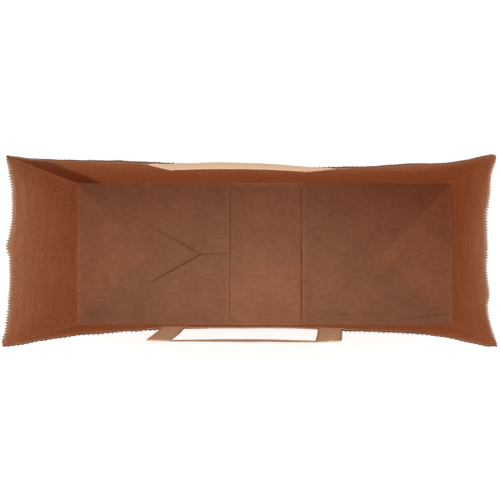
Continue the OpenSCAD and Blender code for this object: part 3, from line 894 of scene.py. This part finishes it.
def end_flap(sheet, hand, edge_x, creases, puff, lifts, seed):
    wall_x = hand * (HALF_W - PAPER_T - LAYER_GAP)
    side_y = HALF_D - PAPER_T - SIDE_CLEAR
    corners = [(wall_x, -side_y), (edge_x, -side_y), (edge_x, side_y), (wall_x, side_y)]
    if hand > 0:
        corners = corners[::-1]
    lines = end_flap_lines(hand, wall_x, edge_x, side_y, creases)
    flat, faces = mesh_flat(closed_outline(corners, FLAP_STEPS), lines, FLAP_SPACING)
    height = end_flap_height(flat, hand, edge_x, creases, puff, lifts, seed)
    up = quarter_round(END_ROUND, np.abs(flat[:, 0] - wall_x))
    down = quarter_round(SIDE_ROUND, side_y - np.abs(flat[:, 1])) * SIDE_ROUND_SHARE
    low = np.column_stack([flat, np.maximum(height + up - down, THINNEST)])
    top = low + [0, 0, PAPER_T]
    across = [((edge_x, -side_y), (edge_x, side_y))]
    start = [((wall_x, -side_y), (wall_x, side_y))]
    sides = [((wall_x, side * side_y), (edge_x, side * side_y)) for side in (-1, 1)]
    # A highlight is painted on the free edge; the folds are worn pale
    wear_and_shade = paler_along(flat, across, FREE_EDGE_HIGHLIGHT)
    wear_and_shade = np.maximum(wear_and_shade, paler_along(flat, start, WALL_FOLD_WEAR))
    wear_and_shade = np.maximum(wear_and_shade, paler_along(flat, sides, SIDE_FOLD_WEAR))
    # Shade is painted dark into each crease
    for a, b, depth, _, fade in creases:
        wear_and_shade -= groove(flat, a, b, CREASE_SHADE * np.clip(depth, 0, 2), 1, fade, nick=1)
    sheet.add(flat, faces, top, low, wear_and_shade)
    sheet.flat[-1] = end_flap_pattern(sheet.flat[-1], hand)


def end_flap_pattern(flat, hand):
    """The flat pattern runs on from the gusset: round the bag becomes across the flap."""
    middle = RIGHT_MID if hand > 0 else LEFT_MID
    return np.column_stack([middle + hand * flat[:, 1], -1 - (HALF_W - hand * flat[:, 0])])


def long_flap(sheet, hand, low_z, lines=()):
    """The outer long flap hangs on the back wall and ends past the middle; the inner one covers the base."""
    wall_y = hand * (HALF_D - BASE_IN)
    reach_y = -OUTER_FLAP_PAST if hand > 0 else HALF_D - 1.0
    inset_x = HALF_W - BASE_IN
    far_x = inset_x - abs(reach_y - wall_y)
    corners = [(-inset_x, wall_y), (inset_x, wall_y), (far_x, reach_y), (-far_x, reach_y)]
    if hand > 0:
        corners = corners[::-1]
    flat, faces = mesh_flat(closed_outline(corners, (5, 5, 5, 5)), list(lines), 6)
    low = np.column_stack([flat, low_z(flat)])
    top = low + [0, 0, PAPER_T]
    edges = [((-far_x, reach_y), (far_x, reach_y)), ((-inset_x, wall_y), (-far_x, reach_y)),
             ((inset_x, wall_y), (far_x, reach_y))]
    wear_and_shade = paler_along(flat, edges, LONG_EDGE_WEAR)
    # Shade is painted dark along the troughs beside the end flaps' free edges
    for a, b, depth in TROUGHS:
        wear_and_shade -= TROUGH_SHADE * groove(flat, a, b, depth, 1, nick=1)
    sheet.add(flat, faces, top, low, wear_and_shade)
    sheet.flat[-1] = sheet.flat[-1][:, ::-1] + [hand * BODY_W, -BODY_W]


def outer_flap_height(points):
    return np.zeros(len(points))


def inner_flap_height(points):
    x, y = points[:, 0], points[:, 1]
    bed = LAYER * smoothstep(-HALF_D, -OUTER_FLAP_PAST - LAP_EASE, y)
    in_gap = smoothstep(LEFT_EDGE - GAP_EASE, LEFT_EDGE, x)
    in_gap = in_gap * smoothstep(RIGHT_EDGE + GAP_EASE, RIGHT_EDGE, x)
    swell = GAP_RISE + GAP_WAVE_SHARE * waves(points, *GAP_WAVES)
    swell = swell * smoothstep(0, GAP_FROM_SIDE, HALF_D - np.abs(y))
    troughs = sum(groove(points, a, b, depth, 1, nick=1) for a, b, depth in TROUGHS)
    return bed + in_gap * np.maximum(swell - press(points, GAP_CREASES) - troughs, 0)


def paper_bag():
    sheet = Sheet()
    add_walls(sheet)
    add_overlap(sheet)
    long_flap(sheet, 1, outer_flap_height)
    trough_lines = [along((x + off, 4 - HALF_D), (x + off, HALF_D - 4), 3)
                    for x in (LEFT_TROUGH, RIGHT_TROUGH) for off in BESIDE_TROUGH]
    long_flap(sheet, -1, inner_flap_height, trough_lines)
    end_flap(sheet, -1, LEFT_EDGE, LEFT_CREASES, 2.0, (1.6, 1.2), 21)
    end_flap(sheet, 1, RIGHT_EDGE, RIGHT_CREASES, 1.5, (1.4, 3.0), 22)
    return sheet.build("kraft_bag", kraft_paper)


bag = paper_bag()
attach(bag, "root")
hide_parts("bag")


# Handles and patches: x across the bag, z up, n inward from the wall's inner face

# A leg starts its lean softly, its way to the right grows as it rises, and the grip bulges between the legs
LEAN_SOFT = 0.02
SWAY_CURVE = 1.6
BOW_CURVE = 1.5


class Side:
    """One side's handle and patch. Pairs are for the left and the right leg: how far it leans out from the
    mouth up to the grip, how far the grip leans further, and how far the leg and the grip's top edge go to
    the right. bow is how far the grip's lower and upper edges bulge out between the legs."""

    def __init__(self, sign, shift, lean, over, sway, tip, bow):
        self.sign, self.shift, self.lean, self.over = sign, shift, lean, over
        self.sway, self.tip, self.bow = sway, tip, bow

    def foot(self, x, z):
        """Place on the wall's inner face."""
        s = HALF_W + x if self.sign < 0 else PANEL_START[BACK] + HALF_W - x
        return wall(s, z, PAPER_T + set_back(s, z))

    def place(self, x, z, n):
        k = (x - self.shift) / HANDLE_W + 0.5
        over_mouth = z - BODY_H
        up = np.clip(over_mouth / LEG_H, 0, 1)
        over = np.clip((over_mouth - LEG_H) / TAPE_W, 0, None)
        leg_x = HANDLE_W / 2 - TAPE_W / 2
        foot = self.foot(x, np.minimum(z, BODY_H))
        mouth = np.array([BODY_H])
        left, right = (self.foot(np.array([self.shift + d]), mouth)[0, 1] for d in (-leg_x, leg_x))
        least = math.sqrt(LEAN_SOFT)
        soft = (np.sqrt(up ** 2 + LEAN_SOFT) - least) / (math.sqrt(1 + LEAN_SOFT) - least)
        pairs = (self.lean, self.over, self.sway, self.tip)
        lean, further, sway, tip = (a * (1 - k) + b * k for a, b in pairs)
        bow = self.bow[0] * (1 - over) + self.bow[1] * over
        out = lean * soft + further * over + bow * np.sin(np.pi * np.clip(k, 0, 1)) ** BOW_CURVE * up
        y = foot[:, 1] * (1 - up) + (left * (1 - k) + right * k) * up
        return np.column_stack([
            foot[:, 0] + sway * up ** SWAY_CURVE + tip * over,
            y + self.sign * (out - n),
            z,
        ])


front = Side(-1, 2.6, (7.9, 7.4), (-0.6, -0.3), (-7.8, -1.4), (0.8, 0), (-1.3, 0.2))
back = Side(1, -3.3, (-3.6, -3.5), (-6.9, -4.7), (-1.2, -1.5), (2.4, -6.5), (3.0, 2.4))

# The folded tape: its length, the painted light and shade of its two faces, the turn of its folds and the
# step of its inner ply
TALL = GLUED_H + LEG_H
TAPE_L = 2 * TALL + HANDLE_W
OUTER_FACE_LIGHT = 0.6
INNER_FACE_SHADE = -0.4
KNEE_HIGHLIGHT = 0.4
LEG_EDGE_SHADE = 0.35
LEG_EDGE_REACH = 0.9
TURN_R = 0.36
TURN = math.pi * TURN_R
SLANT = math.sqrt(0.5)
PLY_EDGE = 7.5
PLY_RISE = 0.15
PLY_STEP = 0.08
TAPE_WAVES = ((60, 25), (0.12, 0.05))
FREE_OVER = 15
TAPE_STEP = 3
TAPE_SPACING = 3.2
TURN_ROWS = 6
TURN_STEP = 2


def fold_over(x, z, off, ahead, way):
    """Turn the tape back on itself where it is ahead of a 45 degree fold, towards way in x."""
    turn = np.clip(ahead, 0, TURN) / TURN_R
    past = TURN_R * np.sin(turn) - np.clip(ahead - TURN, 0, None) - off * np.sin(turn) - ahead
    moved = np.where(ahead > 0, past, 0) * SLANT
    return x + way * moved, z + moved, TURN_R * (1 - np.cos(turn)) + off * np.cos(turn)


def tape_path(flat, off):
    """In-plane place (x from the handle's outer left edge, z from its foot) and depth of the folded tape."""
    x, z = flat[:, 1], flat[:, 0]
    first = (z - TALL - x) * SLANT
    x, z, depth = fold_over(x, z, off, first, -1)
    n = np.where(first > 0, depth, off)
    second = (x - HANDLE_W + z - TALL) * SLANT
    x, z, depth = fold_over(x, z, off, second, 1)
    return x, z, np.where(second > 0, 2 * TURN_R - depth, n)


def tape_thickness(flat):
    """Half the tape's thickness: its long edges are folds, and its ends are cut."""
    from_edge = np.minimum(flat[:, 1], TAPE_W - flat[:, 1])
    half = TAPE_T / 2
    share = np.clip(from_edge / half, 0, 1)
    return half * np.sqrt(np.clip(1 - (1 - share) ** 2, 0, 1))


def tape_lines():
    rows = (0.03, 0.12, 0.3, PLY_EDGE, PLY_EDGE + PLY_RISE, TAPE_W - 0.3, TAPE_W - 0.12, TAPE_W - 0.03)
    lines = [along((0, w), (TAPE_L, w), TAPE_STEP) for w in rows]
    far = TALL + HANDLE_W + TURN / SLANT
    for k in range(TURN_ROWS + 1):
        off = TURN * k / TURN_ROWS / SLANT
        lines.append(along((TALL + off, 0), (TALL + TAPE_W + off, TAPE_W), TURN_STEP))
        lines.append(along((far + off, 0), (far - TAPE_W + off, TAPE_W), TURN_STEP))
    return lines


def tape_light_and_shade(flat):
    """Painted light and shade of the tape's two faces, which change places past the first fold: the outer
    face is painted pale, the inner face painted dark, lighter at the knees and darker along the legs' edges.
    """
    legs = [((a, w), (b, w)) for w in (0, TAPE_W) for a, b in ((0, TALL + w), (TAPE_L - TALL - w, TAPE_L))]
    from_end = np.minimum(flat[:, 0], TAPE_L - flat[:, 0])
    at_knee = smoothstep(TALL - 1, TALL + 3, from_end) * smoothstep(TALL + TAPE_W, TALL + 4, from_end)
    # The outer face is painted pale; the inner face is painted dark, with a painted highlight at the knees
    # and painted shade along the legs' edges
    outer = np.full(len(flat), OUTER_FACE_LIGHT)
    inner = INNER_FACE_SHADE + KNEE_HIGHLIGHT * at_knee - near_lines(flat, legs, LEG_EDGE_REACH) * LEG_EDGE_SHADE
    over_fold = smoothstep(-0.5, 0.5, from_end - TALL - flat[:, 1] - TURN * SLANT)
    return inner * (1 - over_fold) + outer * over_fold, outer * (1 - over_fold) + inner * over_fold


def folded_tape(side, name, seed):
    corners = [(0, 0), (TAPE_L, 0), (TAPE_L, TAPE_W), (0, TAPE_W)]
    flat, faces = mesh_flat(closed_outline(corners, (TAPE_STEP,) * 4), tape_lines(), TAPE_SPACING)
    half = tape_thickness(flat)
    ply = PLY_STEP * smoothstep(PLY_EDGE, PLY_EDGE + PLY_RISE, flat[:, 1])
    ply = ply * smoothstep(0, 1, TAPE_W - flat[:, 1])
    swell = waves(flat, *TAPE_WAVES, seed)
    layers = []
    for off in (half + ply, -half):
        x, z, n = tape_path(flat, -off)
        x = x + side.shift - HANDLE_W / 2
        z = z + BODY_H - GLUED_H
        free = smoothstep(BODY_H, BODY_H + FREE_OVER, z)
        layers.append(side.place(x, z, swell * free - n + PASTE_T + TAPE_T / 2))
    tape = Sheet()
    tape.add(flat, faces if side.sign < 0 else faces[:, ::-1], *layers, tape_light_and_shade(flat))
    return tape.build(name, tape_paper, 50)


PATCH_STEP = 4
PATCH_SPACING = 5
PATCH_CLEAR = 0.4
PATCH_LOW_REACH = 8
PATCH_LOW_SHARE = 0.2
PATCH_EDGE_WEAR = (0.5, 0.4)


def patch(side, name):
    """The strip pasted over a handle's legs: it lies on the wall between them, and steps up over each."""
    top = BODY_H - PATCH_DROP
    low = top - PATCH_H
    half = PATCH_W / 2
    corners = [(-half, low), (half, low), (half, top), (-half, top)]
    near_leg, far_leg = HANDLE_W / 2 - TAPE_W - PATCH_CLEAR, HANDLE_W / 2 + PATCH_CLEAR
    steps = [near_leg - PATCH_SLOPE, near_leg - PATCH_SLOPE / 2, near_leg,
             far_leg, far_leg + PATCH_SLOPE / 2, far_leg + PATCH_SLOPE]
    lines = [along((hand * x, low), (hand * x, top), PATCH_STEP) for hand in (-1, 1) for x in steps]
    flat, faces = mesh_flat(closed_outline(corners, (PATCH_STEP,) * 4), lines, PATCH_SPACING)
    x = np.abs(flat[:, 0])
    over = smoothstep(near_leg - PATCH_SLOPE, near_leg, x) * smoothstep(far_leg + PATCH_SLOPE, far_leg, x)
    over *= smoothstep(low, low + PATCH_LOW_REACH, flat[:, 1]) * PATCH_LOW_SHARE + 1 - PATCH_LOW_SHARE
    rise = PASTE_T + over * (TAPE_T + PLY_STEP + PASTE_T)
    layers = [side.place(flat[:, 0] + side.shift, flat[:, 1], rise + t) for t in (PAPER_T, 0.0)]
    edges = [(corners[k], corners[(k + 1) % 4]) for k in range(4)]
    wear_and_shade = paler_along(flat, edges, PATCH_EDGE_WEAR)
    piece = Sheet()
    piece.add(flat, faces if side.sign > 0 else faces[:, ::-1], *layers, wear_and_shade)
    return piece.build(name, patch_paper, 50)


for side, place_name, seed in ((front, "front", 31), (back, "back", 32)):
    tape = folded_tape(side, place_name + "_tape", seed)
    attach(tape, "root")
    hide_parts(place_name + "_handle")
    strip = patch(side, place_name + "_paste_patch")
    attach(strip, "root")
    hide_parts(place_name + "_patch")


# The camera looks straight down from where the photograph was taken: millimetres, radians and pixels

PHOTO_W = 500
FOCAL_PX = 1642.0
SENSOR_W = 36.0
CAMERA_PLACE = (54.4367, -10.1186, 1963.6677)
CAMERA_TURN = (0.0075, 0.0362, 0.0006)
CAMERA_REACH = 50

camera_data = bpy.data.cameras.new("camera")
camera_data.sensor_fit = "HORIZONTAL"
camera_data.sensor_width = SENSOR_W
camera_data.lens = FOCAL_PX * SENSOR_W / PHOTO_W
camera_data.clip_end = CAMERA_REACH
camera = bpy.data.objects.new("camera", camera_data)
camera.location = [distance * MM for distance in CAMERA_PLACE]
camera.rotation_euler = Euler(CAMERA_TURN, "XYZ")
bpy.context.scene.collection.objects.link(camera)
bpy.context.scene.camera = camera


# Pale floor, soft light from above, and white where the camera sees past the bag

WHITE = (1, 1, 1, 1)
FLOOR_SIZE = 12.0
FLOOR_TONE = 0.86
FLOOR_GLOW = 0.45
WORLD_LIGHT = 0.68
LAMP_PLACE = (0.1, 0.28, 2.9)
LAMP_AIM = (0, 0, 0.3)
LAMP_SIZE = (2.5, 1.2)
LAMP_WATTS = 46


def background_rays(nodes):
    """1 for the rays that show the background: the camera's own, and those that leave metal or paper."""
    path = nodes.add("ShaderNodeLightPath").outputs
    mirrored = nodes.maths("MAXIMUM", path["Is Camera Ray"], path["Is Glossy Ray"])
    return nodes.maths("MAXIMUM", mirrored, path["Is Transmission Ray"])


def floor_material():
    """Pale paint that takes the bag's shadow, lifted to white for the rays that show the background."""
    material = bpy.data.materials.new("pale_floor")
    nodes = Nodes(material)
    paint = nodes.add("ShaderNodeBsdfDiffuse", {"Color": (FLOOR_TONE, FLOOR_TONE, FLOOR_TONE, 1)})
    lift = nodes.maths("MULTIPLY", background_rays(nodes), FLOOR_GLOW)
    glow = nodes.add("ShaderNodeEmission", {"Strength": lift})
    both = nodes.add("ShaderNodeAddShader", {0: paint.outputs[0], 1: glow.outputs[0]})
    nodes.add("ShaderNodeOutputMaterial", {"Surface": both.outputs[0]})
    return material


def studio_world():
    """Even white light all round, shown as plain white behind the bag."""
    world = bpy.data.worlds.new("studio")
    nodes = Nodes(world)
    light = nodes.add("ShaderNodeBackground", {"Color": WHITE, "Strength": WORLD_LIGHT})
    white = nodes.add("ShaderNodeBackground", {"Color": WHITE})
    shares = {0: background_rays(nodes), 1: light.outputs[0], 2: white.outputs[0]}
    shown = nodes.add("ShaderNodeMixShader", shares)
    nodes.add("ShaderNodeOutputWorld", {"Surface": shown.outputs[0]})
    return world


def soft_light(name, place, aim, size, watts):
    data = bpy.data.lights.new(name, "AREA")
    data.shape = "RECTANGLE"
    data.size, data.size_y = size
    data.energy = watts
    lamp = bpy.data.objects.new(name, data)
    lamp.location = place
    lamp.rotation_euler = (Vector(aim) - Vector(place)).to_track_quat("-Z", "Y").to_euler()
    bpy.context.scene.collection.objects.link(lamp)


half = FLOOR_SIZE / 2
floor_mesh = bpy.data.meshes.new("floor")
corners = [(x * half, y * half, 0) for x, y in ((-1, -1), (1, -1), (1, 1), (-1, 1))]
floor_mesh.from_pydata(corners, [], [(0, 1, 2, 3)])
floor_mesh.materials.append(floor_material())
floor = bpy.data.objects.new("floor", floor_mesh)
bpy.context.scene.collection.objects.link(floor)

bpy.context.scene.world = studio_world()
soft_light("ceiling", LAMP_PLACE, LAMP_AIM, LAMP_SIZE, LAMP_WATTS)
bpy.context.scene.view_settings.view_transform = "Standard"
